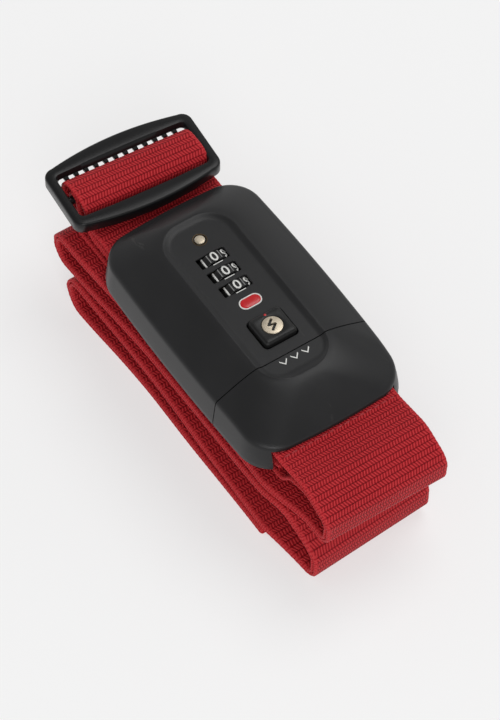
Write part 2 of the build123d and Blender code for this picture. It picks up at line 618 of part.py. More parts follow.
TONGUE_WRAP_X = TONGUE_BAR_X - WRAP_RADIUS
leg_path = [
    (66.5, 46.6, 0),
    (52.5, TONGUE_BAR_Z - WRAP_RADIUS, 6.0),
    (TONGUE_WRAP_X, TONGUE_BAR_Z - WRAP_RADIUS, wrap_bend),
    (TONGUE_WRAP_X, TONGUE_BAR_Z + WRAP_RADIUS, wrap_bend),
    (57.25, TONGUE_BAR_Z + WRAP_RADIUS, 20.0),
    (72.5, 50.0, 12.0),
    (TIP_X, 44.6, 5.8),
    (TIP_X, 40.05 + TRAVEL_GAP + 0.05, 0),
]

with BuildPart() as webbing_tongue_leg:
    with BuildSketch(Plane.XZ):
        add(strap_face(leg_path))
    extrude(amount=STRAP_WIDTH / 2, both=True)
save(webbing_tongue_leg, "webbing_tongue_leg")


def path_length(path):
    """The length of a strap along its middle, with each corner rounded."""
    total = 0.0
    for (x0, z0, _), (x1, z1, _) in zip(path, path[1:]):
        total += math.hypot(x1 - x0, z1 - z0)
    for before, (x, z, radius), after in zip(path, path[1:], path[2:]):
        first = math.atan2(z - before[1], x - before[0])
        second = math.atan2(after[1] - z, after[0] - x)
        turn = abs(math.remainder(second - first, 2 * math.pi))
        total -= radius * (2 * math.tan(turn / 2) - turn)
    return total


print(f"strap {path_length(strap_path):.0f} mm, tongue leg {path_length(leg_path):.0f} mm")

# ---------------------------------------------------------------- stitching that closes the strap's ends


def add_stitches(x_low, x_high, z_low, z_high, slope, rows):
    """Rows of short thread loops across a doubled piece of strap."""
    for row in range(rows):
        x = x_low + (x_high - x_low) * row / (rows - 1)
        lift = slope * (x - x_low)
        for k in range(9):
            y = (k - 4) * 5.0
            box_between((x - 0.25, x + 0.25), (y - 1.6, y + 1.6), (z_low + lift, z_high + lift))


with BuildPart() as slider_end_stitching:
    add_stitches(-58.0, -53.0, 42.9 + 0.7, 42.9 + 0.95, 0, 2)
save(slider_end_stitching, "slider_end_stitching")

with BuildPart() as tongue_end_stitching:
    add_stitches(60.5, 65.0, 45.9, 46.15, 0.25, 2)
save(tongue_end_stitching, "tongue_end_stitching")
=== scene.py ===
"""A folded luggage strap with a three-dial combination buckle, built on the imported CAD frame."""
import json
import math

import bmesh
import bpy
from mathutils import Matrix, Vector, noise


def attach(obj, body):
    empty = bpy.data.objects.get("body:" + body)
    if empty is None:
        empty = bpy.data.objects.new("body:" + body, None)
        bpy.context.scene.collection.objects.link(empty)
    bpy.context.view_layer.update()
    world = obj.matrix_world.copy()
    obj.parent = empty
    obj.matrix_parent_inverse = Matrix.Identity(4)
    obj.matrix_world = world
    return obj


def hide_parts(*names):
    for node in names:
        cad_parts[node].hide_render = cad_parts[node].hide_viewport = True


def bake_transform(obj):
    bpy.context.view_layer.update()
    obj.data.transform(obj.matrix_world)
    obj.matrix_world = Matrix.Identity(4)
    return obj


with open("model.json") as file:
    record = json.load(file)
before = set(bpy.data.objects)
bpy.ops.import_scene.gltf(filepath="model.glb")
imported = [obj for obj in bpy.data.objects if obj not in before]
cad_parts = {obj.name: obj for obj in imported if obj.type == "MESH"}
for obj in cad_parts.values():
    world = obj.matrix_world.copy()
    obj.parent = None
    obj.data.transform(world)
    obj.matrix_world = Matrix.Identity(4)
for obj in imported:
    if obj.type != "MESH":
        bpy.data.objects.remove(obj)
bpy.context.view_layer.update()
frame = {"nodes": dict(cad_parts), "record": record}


MM = 0.001

# --- buckle, in millimetres, as in the CAD ---
SEAM_X = 26.25
SEAM_HALF = 0.2
CASE_X = (-54.25, 56.25)
CASE_HALF_WIDTH = 33.0
SIDE_BOW = 1.6
END_BOW = 2.0
CASE_CORNER = 14.0
SKIN_FOOT_Z = 41.7
CREASE_Z = 52.6
TONGUE_CREASE_Z = 50.4
CREST_Z = 59.4
PANEL_Z = 58.7
PANEL_X = (-38.25, 33.25)
PANEL_HALF_WIDTH = 11.75
PANEL_CORNERS = (8.0, 5.5)
SKIN_THICKNESS = 0.75
OPENING_HALF = 25.6
OPENING_TOP_Z = 49.0
OPENING_DEPTH = 13.0
DIAL_X = (-22.35, -15.05, -7.75)
DIAL_Z = 52.0
DIAL_RADIUS = 7.5
DIGITS = 10
DIGIT_SECTOR = 2 * math.pi / DIGITS
DIGIT_HEIGHT = 4.0
DIGIT_WIDTH = 4.2
WHEEL_STEPS = 240
HUB_RADIUS = 3.2
WINDOW = (4.8, 11.6)
WINDOW_Y = -0.6
PIN_X = -31.45
BADGE_X = 0.75
BADGE_LENGTH = 8.8
BADGE_WIDTH = 5.0
BUTTON_X = 14.55
BUTTON_SIZE = (12.5, 13.3)
BUTTON_GAP = 0.35
BUTTON_TOP_Z = 60.7

# --- slider: half sizes are along and across the strap ---
SLIDER_X = -74.0
SLIDER_Y = -0.9
SLIDER_YAW = math.radians(-4.6)
SLIDER_Z = (49.7, 54.7)
SLIDER_OUTER = (17.2, 29.6)
SLIDER_INNER = (9.7, 25.6)
SLIDER_BOW = 4.0
SLIDER_BAR_HALF = 26.2
SLIDER_BAR_Z = 51.6
SLIDER_BAR_RADIUS = 1.55
TEETH = 12
TOOTH_PITCH = 4.0

# --- webbing: rows run across the strap, and slanted yarns run in each row ---
STRAP_HALF_WIDTH = 25.0
STRAP_THICKNESS = 1.4
RIB_HEIGHT = 0.12
PLY_OFFSET = 0.8
RIB_PITCH = 2.0
DASH_PITCH = 1.15
TIP_X = 85.25
INNER_TIP_X = TIP_X - 1.65
LEG_END_Z = 37.0
INNER_END_Z = 36.2

# --- stitches in the leg of webbing at the tongue ---
STITCH_ROWS = (53.6, 56.0)
STITCH_Z = 48.45
STITCH_PITCH = 3.1
STITCHES = 15
STITCH_RINGS = 7
STITCH_STEPS = 8

# --- camera, in degrees and metres ---
CAMERA_AZIMUTH = 56.36
CAMERA_ELEVATION = 54.81
CAMERA_DISTANCE = 1.5
CAMERA_LENS = 213.5


# ------------------------------------------------------------------ small helpers


def smoothstep(low, high, value):
    """0 up to low, 1 from high on, and smooth between them; low may be the larger number."""
    t = min(1.0, max(0.0, (value - low) / (high - low)))
    return t * t * (3 - 2 * t)


def mix(a, b, t):
    return a + (b - a) * t


def make_mesh(name, points, faces, smooth_angle=35.0, closed=True):
    """A mesh object from points in millimetres."""
    mesh = bpy.data.meshes.new(name)
    mesh.from_pydata([tuple(c * MM for c in p) for p in points], [], faces)
    mesh.update()
    if closed:
        face_outwards(mesh)
    obj = bpy.data.objects.new(name, mesh)
    bpy.context.scene.collection.objects.link(obj)
    shade(obj, smooth_angle)
    return obj


def face_outwards(mesh):
    """Turns the faces of a closed mesh outwards."""
    edit = bmesh.new()
    edit.from_mesh(mesh)
    bmesh.ops.recalc_face_normals(edit, faces=edit.faces)
    edit.to_mesh(mesh)
    edit.free()


def shade(obj, smooth_angle=35.0):
    obj.data.shade_smooth()
    obj.data.set_sharp_from_angle(angle=math.radians(smooth_angle))


def ring_faces(rings, count, closed_rings=False):
    """Quads between successive rings of count points each."""
    faces = []
    for k in range(rings if closed_rings else rings - 1):
        a = k * count
        b = ((k + 1) % rings) * count
        for i in range(count):
            j = (i + 1) % count
            faces.append((a + i, a + j, b + j, b + i))
    return faces


def capped_faces(rings, count):
    """Quads between successive rings, and a face over each end."""
    last = (rings - 1) * count
    ends = [tuple(range(count - 1, -1, -1)), tuple(range(last, last + count))]
    return ring_faces(rings, count) + ends


def renumbered(faces, start):
    """The same faces, for points whose numbers begin at start."""
    return [tuple(start + i for i in face) for face in faces]


def circle(radius, steps):
    """Points round a circle about the origin."""
    angles = [2 * math.pi * i / steps for i in range(steps)]
    return [(radius * math.cos(a), radius * math.sin(a)) for a in angles]


def turned_points(profile, center, steps):
    """Rings of points round a vertical line at (x, y), one for each (radius, height) of the profile."""
    x, y = center
    return [(x + u, y + v, height) for radius, height in profile for u, v in circle(radius, steps)]


def lathe(name, profile, center, steps):
    """A solid turned piece with flat ends."""
    return make_mesh(name, turned_points(profile, center, steps), capped_faces(len(profile), steps))


def ring_lathe(name, profile, center, steps):
    """A turned ring, whose profile is a closed loop."""
    faces = ring_faces(len(profile), steps, closed_rings=True)
    return make_mesh(name, turned_points(profile, center, steps), faces)


def quarter_turn(center_x, center_y, radius, quarter, count):
    """Points clockwise round a quarter of a circle; quarter -1 starts at the top, 0 at the right."""
    angles = [-math.pi / 2 * (quarter + i / count) for i in range(count)]
    return [(center_x + radius * math.cos(a), center_y + radius * math.sin(a)) for a in angles]


def rounded_loop(x_range, half_width, corners, inset=0.0, side_bow=0.0, end_bow=0.0, counts=(44, 12, 16)):
    """A rounded rectangle's outline with gently bowed sides, always with the same number of points."""
    side_count, corner_count, end_count = counts
    middle = sum(x_range) / 2
    reach = (x_range[1] - x_range[0]) / 2

    def width_at(x):
        return half_width - side_bow * ((x - middle) / reach) ** 2 - inset

    def end_at(y, sign):
        return middle + sign * (reach - end_bow * (y / half_width) ** 2 - inset)

    def side_run(start, stop, sign):
        run = []
        for i in range(side_count):
            t = i / side_count
            x = mix(start[0], stop[0], t)
            bow = width_at(x) - mix(width_at(start[0]), width_at(stop[0]), t)
            run.append((x, sign * (mix(start[1] + start[2], stop[1] + stop[2], t) + bow)))
        return run

    def end_run(corner, sign):
        center_x, center_y, radius = corner
        heights = [mix(sign * center_y, -sign * center_y, i / end_count) for i in range(end_count)]
        return [(center_x + sign * radius + end_at(y, sign) - end_at(center_y, sign), y) for y in heights]

    centers = []
    for sign, corner in ((-1, corners[0]), (1, corners[1])):
        radius = corner - inset
        center_x = end_at(half_width - corner, sign) - sign * radius
        centers.append((center_x, width_at(center_x) - radius, radius))
    low, high = centers
    points = side_run(low, high, 1)
    points += quarter_turn(high[0], high[1], high[2], -1, corner_count)
    points += end_run(high, 1)
    points += quarter_turn(high[0], -high[1], high[2], 0, corner_count)
    points += side_run(high, low, -1)
    points += quarter_turn(low[0], -low[1], low[2], 1, corner_count)
    points += end_run(low, -1)
    points += quarter_turn(low[0], low[1], low[2], 2, corner_count)
    return points


def prism(name, loops):
    """A closed solid through loops of (x, y) points, each with its height: [(points, z), ...]."""
    points = [(x, y, z) for loop, z in loops for x, y in loop]
    faces = capped_faces(len(loops), len(loops[0][0]))
    return make_mesh(name, points, [tuple(reversed(f)) for f in faces])


def box_mesh(name, x_range, y_range, z_range):
    """A plain box."""
    (x0, x1), (y0, y1) = x_range, y_range
    loop = [(x0, y0), (x0, y1), (x1, y1), (x1, y0)]
    return prism(name, [(loop, z) for z in z_range])


def apply_modifiers(obj):
    """Replaces the mesh by its evaluated one."""
    bpy.context.view_layer.update()
    evaluated = obj.evaluated_get(bpy.context.evaluated_depsgraph_get())
    mesh = bpy.data.meshes.new_from_object(evaluated)
    obj.modifiers.clear()
    obj.data = mesh


def cut(obj, cutters):
    """Takes each cutter out of obj, and deletes the cutters."""
    for cutter in cutters:
        modifier = obj.modifiers.new("cut", "BOOLEAN")
        modifier.operation = "DIFFERENCE"
        modifier.solver = "EXACT"
        modifier.object = cutter
        apply_modifiers(obj)
        bpy.data.objects.remove(cutter)


def finish_piece(obj, body, material, replaces=()):
    """Puts a piece on its body with its finish, in place of CAD nodes."""
    obj.data.materials.clear()
    obj.data.materials.append(material)
    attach(obj, body)
    if replaces:
        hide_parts(*replaces)
    return obj


# ------------------------------------------------------------------ materials


class Shader:
    """A principled material with short ways to add nodes."""

    def __init__(self, name, color, roughness, metallic=0.0):
        self.material = bpy.data.materials.new(name)
        self.material.use_nodes = True
        self.tree = self.material.node_tree
        self.bsdf = self.tree.nodes["Principled BSDF"]
        self.set("Base Color", (*color, 1))
        self.set("Roughness", roughness)
        self.set("Metallic", metallic)
        coords = self.tree.nodes.new("ShaderNodeTexCoord")
        self.place = coords.outputs["Object"]

    def set(self, socket, value):
        self.bsdf.inputs[socket].default_value = value

    def link(self, output, socket):
        self.tree.links.new(output, self.bsdf.inputs[socket])

    def feed(self, socket, value):
        """Links a socket to a node's output, or sets it to a plain value."""
        if isinstance(value, bpy.types.NodeSocket):
            self.tree.links.new(value, socket)
        else:
            socket.default_value = value

    def node(self, kind, inputs=(), **settings):
        node = self.tree.nodes.new(kind)
        for key, value in settings.items():
            setattr(node, key, value)
        for socket, value in dict(inputs).items():
            self.feed(node.inputs[socket], value)
        return node

    def math(self, operation, a, b=0.0, c=0.0):
        return self.node("ShaderNodeMath", {0: a, 1: b, 2: c}, operation=operation).outputs[0]

    def noise(self, scale, detail=3.0, stretch=(1, 1, 1), roughness=0.55):
        mapping = self.node("ShaderNodeMapping", {"Vector": self.place, "Scale": stretch})
        inputs = {"Vector": mapping.outputs[0], "Scale": scale, "Detail": detail, "Roughness": roughness}
        return self.node("ShaderNodeTexNoise", inputs).outputs["Fac"]

    def ramp(self, value, stops):
        node = self.node("ShaderNodeValToRGB", {"Fac": value})
        ramp = node.color_ramp
        while len(ramp.elements) < len(stops):
            ramp.elements.new(0.5)
        for element, (position, color) in zip(ramp.elements, stops):
            element.position = position
            element.color = (*color, 1)
        return node.outputs["Color"]

    def grey_ramp(self, value, *stops):
        return self.ramp(value, [(p, (g, g, g)) for p, g in stops])

    def mix_color(self, factor, plain, worn):
        """From the plain colour's output to a fixed worn colour."""
        node = self.node("ShaderNodeMix", data_type="RGBA")
        values = {("Factor", "VALUE"): factor, ("A", "RGBA"): plain, ("B", "RGBA"): (*worn, 1)}
        for wanted, value in values.items():
            self.feed(next(s for s in node.inputs if (s.name, s.type) == wanted), value)
        return next(s for s in node.outputs if s.type == "RGBA")

    def bump(self, height, distance, strength):
        inputs = {"Height": height, "Distance": distance, "Strength": strength}
        return self.node("ShaderNodeBump", inputs).outputs["Normal"]


def scaled(color, factor):
    return tuple(c * factor for c in color)


def plastic(name, color, worn, roughness, grain=0.00004, scuffs=0.5):
    """Moulded plastic with a fine grain, faint scuffs and uneven gloss."""
    s = Shader(name, color, roughness)
    s.set("Specular IOR Level", 0.30)
    cloudy = s.noise(45.0, 3.0)
    streaks = s.noise(130.0, 5.0, stretch=(0.35, 1.6, 1.0), roughness=0.7)
    marks = s.grey_ramp(streaks, (0.62, 0.0), (0.74, 1.0))
    patches = s.grey_ramp(cloudy, (0.48, 0.0), (0.66, 1.0))
    wear = s.math("MULTIPLY", s.math("MULTIPLY", marks, patches), scuffs)
    tone = s.ramp(cloudy, [(0.3, scaled(color, 0.9)), (0.7, scaled(color, 1.12))])
    s.link(s.mix_color(wear, tone, worn), "Base Color")
    s.link(s.math("MULTIPLY_ADD", cloudy, 0.12, roughness - 0.06), "Roughness")
    fine = s.noise(2600.0, 2.0)
    s.link(s.bump(fine, grain, 0.35), "Normal")
    return s.material


def metal(name, color, roughness, brushed=(1, 1, 1)):
    """Metal with fine brushing, slight tarnish and uneven gloss."""
    s = Shader(name, color, roughness, 0.9)
    tarnish = s.noise(220.0, 4.0)
    s.link(s.ramp(tarnish, [(0.3, scaled(color, 0.82)), (0.65, color)]), "Base Color")
    lines = s.noise(900.0, 4.0, stretch=brushed)
    s.link(s.math("MULTIPLY_ADD", lines, 0.22, roughness - 0.1), "Roughness")
    s.link(s.bump(lines, 0.00003, 0.5), "Normal")
    return s.material


def paint(name, color, roughness=0.45):
    """Print, enamel, and the flat colours of painted highlight and painted shade, with a slightly uneven
    film.
    """
    s = Shader(name, color, roughness)
    film = s.noise(900.0, 3.0)
    s.link(s.ramp(film, [(0.3, scaled(color, 0.88)), (0.7, color)]), "Base Color")
    s.link(s.bump(film, 0.00002, 0.4), "Normal")
    return s.material


def thread(name, color):
    """Twisted sewing thread."""
    s = Shader(name, color, 0.75)
    s.set("Sheen Weight", 0.4)
    twist = s.noise(2200.0, 2.0, stretch=(1.0, 2.5, 1.0))
    s.link(s.ramp(twist, [(0.35, scaled(color, 0.55)), (0.65, color)]), "Base Color")
    s.link(s.bump(twist, 0.00012, 0.8), "Normal")
    return s.material


def webbing():
    """Ribbed polyester webbing: rows across the strap, whose yarns slant the other way in the next row."""
    s = Shader("webbing_red_weave", (0.45, 0.01, 0.018), 0.62)
    s.set("Specular IOR Level", 0.16)
    s.set("Sheen Weight", 0.02)
    weave = s.node("ShaderNodeUVMap", uv_map="weave")
    split = s.node("ShaderNodeSeparateXYZ", {0: weave.outputs["UV"]})
    along, across = split.outputs[0], split.outputs[1]
    jitter = s.math("MULTIPLY", s.noise(500.0, 2.0), 0.22)
    zigzag = s.math("MULTIPLY", s.math("PINGPONG", s.math("ADD", along, 0.5), 1.0), 0.75)
    slanted = s.math("ADD", s.math("ADD", zigzag, across), jitter)
    across_wave = s.math("COSINE", s.math("MULTIPLY", slanted, 2 * math.pi))
    along_wave = s.math("COSINE", s.math("MULTIPLY", along, math.pi))
    dash = s.math("MULTIPLY_ADD", across_wave, 0.31, 0.69)
    groove = s.math("MINIMUM", s.math("MULTIPLY_ADD", s.math("ABSOLUTE", along_wave), 1.45, 0.30), 1.0)
    row = s.math("MULTIPLY", dash, groove)
    edge = s.math("ABSOLUTE", s.math("SUBTRACT", across, STRAP_HALF_WIDTH / DASH_PITCH))
    selvage = s.math("GREATER_THAN", edge, (STRAP_HALF_WIDTH - 1.2) / DASH_PITCH)
    row_wave = s.math("ABSOLUTE", s.math("SINE", s.math("MULTIPLY", along, 2 * math.pi)))
    bound = s.math("MULTIPLY", selvage, s.math("MULTIPLY_ADD", row_wave, 0.35, 0.5))
    yarn = s.math("MAXIMUM", row, bound)
    fibres = s.noise(3500.0, 2.0, stretch=(1, 3, 1))
    height = s.math("MULTIPLY_ADD", fibres, 0.18, yarn)
    cloudy = s.noise(30.0, 3.0)
    # The colour follows the yarns' height: painted shade in the grooves between yarns and rows, painted
    # highlight on the yarns' tops, over the webbing's own red; the cloudy part is random tone.
    tone = s.math("ADD", s.math("MULTIPLY", height, 0.85), s.math("MULTIPLY", cloudy, 0.2))
    shaded_to_lit_reds = [(0.20, (0.07, 0.0, 0.001)), (0.46, (0.22, 0.001, 0.005)),
            (0.70, (0.39, 0.007, 0.014)), (0.95, (0.56, 0.035, 0.04))]
    s.link(s.ramp(tone, shaded_to_lit_reds), "Base Color")
    s.link(s.bump(height, 0.0003, 0.9), "Normal")
    return s.material


PLASTIC = plastic("buckle_plastic", (0.0135, 0.0135, 0.0142), (0.12, 0.118, 0.11), 0.38, scuffs=0.35)
SATIN = plastic("slider_plastic", (0.006, 0.006, 0.0065), (0.05, 0.05, 0.05), 0.30, scuffs=0.15)
BUTTON_PLASTIC = plastic("button_plastic", (0.008, 0.008, 0.008), (0.14, 0.13, 0.11), 0.36, scuffs=0.4)
DIAL_BLACK = plastic("dial_plastic", (0.006, 0.006, 0.006), (0.08, 0.08, 0.08), 0.38, scuffs=0.3)
WHITE_PRINT = paint("white_print", (0.80, 0.80, 0.77))
# Pale grey painted highlight for the ridges between the dial digits.
RIDGE_HIGHLIGHT = paint("ridge_painted_highlight", (0.24, 0.24, 0.235), 0.5)
RED_ENAMEL = paint("red_enamel", (0.55, 0.008, 0.012), 0.22)
# Painted shade for the inside of the keyway.
KEYWAY_SHADE = paint("keyway_painted_shade", (0.006, 0.006, 0.006), 0.5)
CREAM_METAL = metal("plated_zinc_disc", (0.62, 0.54, 0.42), 0.42, brushed=(1, 6, 1))
RIM_METAL = metal("bronze_rim", (0.11, 0.075, 0.04), 0.42)
STEEL = metal("steel_bar", (0.55, 0.55, 0.56), 0.30, brushed=(4, 0.5, 4))
SPRING = metal("spring_wire", (0.42, 0.42, 0.44), 0.34)
BRASS = metal("brass_cam", (0.62, 0.42, 0.16), 0.33)
THREAD = thread("red_thread", (0.50, 0.012, 0.02))
WEBBING = webbing()
SLOT_MATERIALS = {
    "webbing_red": WEBBING, "thread_red": THREAD, "plastic_black": PLASTIC, "plastic_satin": SATIN,
    "dial_black": DIAL_BLACK, "badge_red": RED_ENAMEL, "plated_zinc": CREAM_METAL, "steel": STEEL,
    "spring_steel": SPRING, "brass": BRASS,
}


def dress_cad_nodes():
    """Gives every CAD node the procedural material of its slot."""
    slot_of = {}
    for node in frame["record"].get("nodes", []):
        if isinstance(node, dict) and node.get("material_slot"):
            slot_of[node.get("name")] = node["material_slot"]
    for name, obj in frame["nodes"].items():
        imported = obj.data.materials[0].name if obj.data.materials else ""
        slot = slot_of.get(name) or next((s for s in SLOT_MATERIALS if s in imported), "plastic_black")
        obj.data.materials.clear()
        obj.data.materials.append(SLOT_MATERIALS[slot])
        shade(obj)


# ------------------------------------------------------------------ buckle skin


def crease_at(x):
    """The crease between wall and roof: level along the sides, lower round the tongue's end."""
    return mix(CREASE_Z, TONGUE_CREASE_Z, smoothstep(34, 54, x))


def case_loop(inset):
    return rounded_loop(CASE_X, CASE_HALF_WIDTH, (CASE_CORNER, CASE_CORNER), inset, SIDE_BOW, END_BOW)


def panel_loop(outset):
    corners = tuple(c + outset for c in PANEL_CORNERS)
    x_range = (PANEL_X[0] - outset, PANEL_X[1] + outset)
    return rounded_loop(x_range, PANEL_HALF_WIDTH + outset, corners)


def crest_loop(outset):
    """The line round the panel where the roof is highest."""
    x_range = (PANEL_X[0] - 2.6 - outset, PANEL_X[1] + 3.2 + outset)
    return rounded_loop(x_range, PANEL_HALF_WIDTH + 2.2 + outset, (10.5 + outset, 12.5 + outset))


def skin_rings():
    """The buckle's outer surface as rings, from the foot of the wall to the middle of the panel."""
    wall = ((0.0, SKIN_FOOT_Z), (0.12, 43.2), (0.5, 46.2))
    rings = [[(x, y, height) for x, y in case_loop(inset)] for inset, height in wall]
    shoulder = ((1.0, -2.2), (1.15, -1.2), (1.3, -0.6), (1.6, -0.08), (2.15, 0.32), (3.0, 0.70))
    for inset, lift in shoulder:
        rings.append([(x, y, crease_at(x) + lift) for x, y in case_loop(inset)])
    low = rings[-1]
    high = crest_loop(1.0)
    roof_steps = 16
    for k in range(1, roof_steps + 1):
        t = k / roof_steps
        rise = 1 - (1 - t) ** 1.28
        ring = []
        for (x0, y0, z0), (x1, y1) in zip(low, high):
            ring.append((mix(x0, x1, t), mix(y0, y1, t), mix(z0, CREST_Z - 0.12, rise)))
        rings.append(ring)
    border = ((0.78, 0.03), (0.6, 0.0), (0.42, 0.02), (0.25, 0.1), (0.0, 0.24), (-0.25, 0.4), (-0.5, 0.53),
              (-0.75, 0.63), (-0.92, 0.68), (-1.0, 0.7))
    for place, drop in border:
        loops = zip(high, panel_loop(0.0))
        t = (1 - place) / 2
        rings.append([(mix(x0, x1, t), mix(y0, y1, t), CREST_Z - drop) for (x0, y0), (x1, y1) in loops])
    for outset in (-0.8, -3.0):
        rings.append([(x, y, PANEL_Z) for x, y in panel_loop(outset)])
    return rings


def build_skin(name):
    """The whole buckle's skin, with its thickness inwards."""
    rings = skin_rings()
    count = len(rings[0])
    points = [p for ring in rings for p in ring]
    faces = ring_faces(len(rings), count)
    last = (len(rings) - 1) * count
    faces.append(tuple(range(last, last + count)))
    obj = make_mesh(name, points, [tuple(reversed(f)) for f in faces], closed=False)
    thick = obj.modifiers.new("thickness", "SOLIDIFY")
    thick.thickness = SKIN_THICKNESS * MM
    thick.offset = -1
    thick.use_quality_normals = True
    apply_modifiers(obj)
    return obj


def flared_cutter(name, x_range, half_width, corner, flare=0.3, shift_y=0.0):
    """A cutter through the panel whose mouth has a small chamfer."""
    counts = (6, 6, 6)
    plain = rounded_loop(x_range, half_width, (corner, corner), counts=counts)
    wide_x = (x_range[0] - flare, x_range[1] + flare)
    wide = rounded_loop(wide_x, half_width + flare, (corner + flare, corner + flare), counts=counts)
    plain = [(x, y + shift_y) for x, y in plain]
    wide = [(x, y + shift_y) for x, y in wide]
    mouth = PANEL_Z - flare
    return prism(name, [(plain, PANEL_Z - 5), (plain, mouth), (wide, PANEL_Z), (wide, PANEL_Z + 4)])


def panel_cutters():
    """Cutters for the three windows, the button's hole and the pin's hole."""
    cutters = []
    half_x, half_y = WINDOW[0] / 2, WINDOW[1] / 2
    for i, x in enumerate(DIAL_X):
        x_range = (x - half_x, x + half_x)
        cutters.append(flared_cutter(f"cut_window_{i}", x_range, half_y, 0.5, 0.2, WINDOW_Y))
    half_x, half_y = (side / 2 + BUTTON_GAP for side in BUTTON_SIZE)
    cutters.append(flared_cutter("cut_button", (BUTTON_X - half_x, BUTTON_X + half_x), half_y, 1.6))
    profile = [(2.0, PANEL_Z - 5), (2.0, PANEL_Z - 0.5), (2.5, PANEL_Z - 0.35), (2.7, PANEL_Z + 0.001),
               (2.7, PANEL_Z + 3)]
    cutters.append(lathe("cut_pin", profile, (PIN_X, 0), 40))
    return cutters


def opening_cutter(name, x_range):
    return box_mesh(name, x_range, (-OPENING_HALF, OPENING_HALF), (SKIN_FOOT_Z - 4, OPENING_TOP_Z))


def build_case():
    """The lock's skin and the tongue's, cut apart at the seam, with an opening for the strap at each end."""
    lock = build_skin("lock_skin")
    tongue = build_skin("tongue_skin")
    far_side = (CASE_X[0] - 5, CASE_X[0] + OPENING_DEPTH)
    near_side = (CASE_X[1] - OPENING_DEPTH, CASE_X[1] + 5)
    trim_z = (30, 70)
    cut(lock, [box_mesh("cut_lock", (SEAM_X - SEAM_HALF, 80), (-50, 50), trim_z)])
    cut(tongue, [box_mesh("cut_tongue", (-80, SEAM_X + SEAM_HALF), (-50, 50), trim_z)])
    cut(lock, [opening_cutter("cut_far", far_side)] + panel_cutters())
    cut(tongue, [opening_cutter("cut_near", near_side)])
    for obj in (lock, tongue):
        shade(obj, 32)
    finish_piece(lock, "lock_body", PLASTIC, ("lock_top_cover",))
    finish_piece(tongue, "tongue", PLASTIC, ("tongue_cover",))


# ------------------------------------------------------------------ dials


def dial_point(x, radius, angle):
    """A point on a wheel; angle 0 is at the top."""
    return (x, radius * math.sin(angle), DIAL_Z + radius * math.cos(angle))


def wheel_radius(angle):
    """The wheel's rim has a fine ridge between every two digits."""
    off = abs((angle / DIGIT_SECTOR) % 1 - 0.5) * DIGIT_SECTOR
    return DIAL_RADIUS - 0.22 + 0.24 * math.exp(-(off / 0.05) ** 2)


def build_wheel(index, x):
    """A ring-shaped wheel with rounded rims; profile rows are (place along the shaft, drop)."""
    profile = ((-2.1, 0.62), (-2.0, 0.25), (-1.8, 0.06), (-1.55, 0.0), (1.55, 0.0), (1.8, 0.06), (2.0, 0.25),
               (2.1, 0.62))
    angles = [2 * math.pi * i / WHEEL_STEPS for i in range(WHEEL_STEPS)]
    points = [dial_point(x + offset, wheel_radius(a) - drop, a) for offset, drop in profile for a in angles]
    points += [dial_point(x + side, HUB_RADIUS, a) for side in (2.1, -2.1) for a in angles]
    faces = ring_faces(len(profile) + 2, WHEEL_STEPS, closed_rings=True)
    wheel = make_mesh(f"dial_rim_{index}", points, faces)
    finish_piece(wheel, f"dial_{index}", DIAL_BLACK, (f"dial_wheel_{index}",))


def digit_outline(character):
    """A digit's points and faces, flat, one unit tall and centred on the origin."""
    curve = bpy.data.curves.new("digit", "FONT")
    curve.body = character
    curve.align_x = "CENTER"
    curve.align_y = "CENTER"
    curve.offset = 0.012
    curve.resolution_u = 6
    holder = bpy.data.objects.new("digit", curve)
    bpy.context.scene.collection.objects.link(holder)
    bpy.context.view_layer.update()
    mesh = bpy.data.meshes.new_from_object(holder.evaluated_get(bpy.context.evaluated_depsgraph_get()))
    bpy.data.objects.remove(holder)
    points = [tuple(v.co) for v in mesh.vertices]
    faces = [tuple(p.vertices) for p in mesh.polygons]
    left, right = min(p[0] for p in points), max(p[0] for p in points)
    low, high = min(p[1] for p in points), max(p[1] for p in points)
    middle_x, middle_y = (left + right) / 2, (low + high) / 2
    tall = high - low
    return [((p[0] - middle_x) / tall, (p[1] - middle_y) / tall) for p in points], faces


def build_digits(index, x, outlines):
    """White digits on the rim; their tops point away from the tongue."""
    radius = DIAL_RADIUS - 0.20
    points = []
    faces = []
    for number, (outline, shape_faces) in enumerate(outlines):
        faces += renumbered(shape_faces, len(points))
        for u, v in outline:
            angle = -number * DIGIT_SECTOR + u * DIGIT_WIDTH / DIAL_RADIUS
            points.append(dial_point(x - v * DIGIT_HEIGHT, radius, angle))
    digits = make_mesh(f"dial_digits_{index}", points, faces, closed=False)
    thick = digits.modifiers.new("thickness", "SOLIDIFY")
    thick.thickness = 0.12 * MM
    thick.offset = 0
    apply_modifiers(digits)
    finish_piece(digits, f"dial_{index}", WHITE_PRINT)


def build_ridges(index, x):
    """Pale lines along the ridges between the digits: a painted highlight where the ridges catch the light.
    """
    half_length = 1.75
    half_turn = 0.022
    depths = (DIAL_RADIUS - 0.35, DIAL_RADIUS + 0.035)
    quads = ((0, 1, 3, 2), (4, 6, 7, 5), (0, 4, 5, 1), (2, 3, 7, 6), (1, 5, 7, 3), (0, 2, 6, 4))
    points = []
    faces = []
    for number in range(DIGITS):
        middle = (number + 0.5) * DIGIT_SECTOR
        faces += renumbered(quads, len(points))
        for along in (-half_length, half_length):
            for turn in (-half_turn, half_turn):
                points += [dial_point(x + along, radius, middle + turn) for radius in depths]
    # These strips carry a painted highlight, not a part of their own.
    ridges = make_mesh(f"dial_ridge_highlights_{index}", points, faces)
    finish_piece(ridges, f"dial_{index}", RIDGE_HIGHLIGHT)


def build_dials():
    """The three wheels, and a white index line on the panel beside each window."""
    outlines = [digit_outline(str(n)) for n in range(DIGITS)]
    for index, x in enumerate(DIAL_X, start=1):
        build_wheel(index, x)
        build_digits(index, x, outlines)
        build_ridges(index, x)
        edge = x + WINDOW[0] / 2
        mark = flat_strip(f"index_line_{index}", (edge + 0.24, edge + 0.56), (-2.1, 1.9), PANEL_Z)
        finish_piece(mark, "lock_body", WHITE_PRINT)


